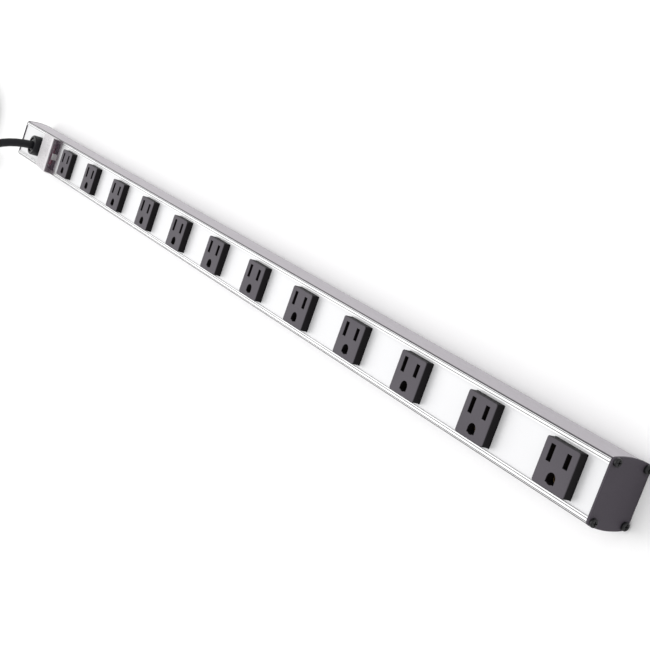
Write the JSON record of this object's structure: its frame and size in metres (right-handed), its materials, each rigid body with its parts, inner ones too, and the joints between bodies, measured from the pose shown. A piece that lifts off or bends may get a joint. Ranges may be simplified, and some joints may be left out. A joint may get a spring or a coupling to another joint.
{
  "type": "rack power strip",
  "caption": "Long rack power strip: silver aluminium channel, row of dark three-pin outlets, guarded rocker switch and a black mains lead.",
  "frame": {"origin": "centre of the flat back face of the strip, mid-length", "axes": "+X along the strip towards the end without the switch, +Y across towards the blade slots, +Z out of the outlet faces"},
  "size_m": [1.2645, 0.0764, 0.1325],
  "materials": {
    "silver_aluminium": "fine brushed, clear anodised",
    "silver_paint": "satin silver enamel",
    "black_end_plastic": "fine textured",
    "black_screws": "black oxide",
    "brass_contacts": "bright stamped",
    "brass_bus": "bright rolled",
    "brass_terminals": "tinned",
    "black_switch_plastic": "satin",
    "maroon_rocker": "translucent gloss",
    "steel_pins": "drawn",
    "lamp_glass": "clear",
    "clear_guard": "clear moulded",
    "clear_hinge": "clear moulded",
    "white_latch": "satin",
    "black_bushing": "moulded nylon",
    "black_cord": "satin jacket",
    "black_insulation": "satin",
    "white_insulation": "satin",
    "green_insulation": "satin",
    "tie_fabric": "hook and loop",
    "black_plug": "moulded",
    "plug_brass": "nickel plated",
    "grey_outlet_face": "fine textured",
    "outlet_base_plastic": "moulded"
  },
  "bodies": {
    "strip": {"bushing_lock": "black_bushing", "cord_bushing": "black_bushing", "cord_hank": "black_cord", "cord_tube": "black_cord", "end_plate_far": "black_end_plastic", "end_plate_near": "black_end_plastic", "end_screws_far": "black_screws", "end_screws_near": "black_screws", "front_panel": "silver_paint", "ground_bus_bar": "brass_bus", "ground_contacts": "brass_contacts", "ground_lead": "green_insulation", "ground_nut": "steel_pins", "guard_hinge_base": "clear_hinge", "guard_hinge_pin": "steel_pins", "hank_tie": "tie_fabric", "housing": "silver_aluminium", "inner_jacket": "black_cord", "line_bus_bar": "brass_bus", "line_contacts": "brass_contacts", "line_lead": "black_insulation", "neutral_bus_bar": "brass_bus", "neutral_contacts": "brass_contacts", "neutral_lead": "white_insulation", "outlet_01_base": "outlet_base_plastic", "outlet_01_face": "grey_outlet_face", "outlet_02_base": "outlet_base_plastic", "outlet_02_face": "grey_outlet_face", "outlet_03_base": "outlet_base_plastic", "outlet_03_face": "grey_outlet_face", "outlet_04_base": "outlet_base_plastic", "outlet_04_face": "grey_outlet_face", "outlet_05_base": "outlet_base_plastic", "outlet_05_face": "grey_outlet_face", "outlet_06_base": "outlet_base_plastic", "outlet_06_face": "grey_outlet_face", "outlet_07_base": "outlet_base_plastic", "outlet_07_face": "grey_outlet_face", "outlet_08_base": "outlet_base_plastic", "outlet_08_face": "grey_outlet_face", "outlet_09_base": "outlet_base_plastic", "outlet_09_face": "grey_outlet_face", "outlet_10_base": "outlet_base_plastic", "outlet_10_face": "grey_outlet_face", "outlet_11_base": "outlet_base_plastic", "outlet_11_face": "grey_outlet_face", "outlet_12_base": "outlet_base_plastic", "outlet_12_face": "grey_outlet_face", "plug_blades": "plug_brass", "plug_body": "black_plug", "plug_ground_pin": "plug_brass", "ring_terminal": "brass_terminals", "rocker_pivot": "steel_pins", "switch_body": "black_switch_plastic", "switch_lamp": "lamp_glass", "switch_terminals": "brass_terminals", "switched_lead": "black_insulation"},
    "rocker": {"switch_rocker": "maroon_rocker"},
    "guard": {"switch_guard": "clear_guard", "guard_latch": "white_latch"}
  },
  "joints": [
    {"name": "rocker_tilt", "type": "hinge", "parent": "strip", "child": "rocker", "pos_m": [-0.3613, 0, 0.0275], "axis": [1, 0, 0], "range_deg": [0, 22]},
    {"name": "guard_lift", "type": "hinge", "parent": "strip", "child": "guard", "pos_m": [-0.3939, 0, 0.03035], "axis": [0, -1, 0], "range_deg": [0, 80]}
  ]
}
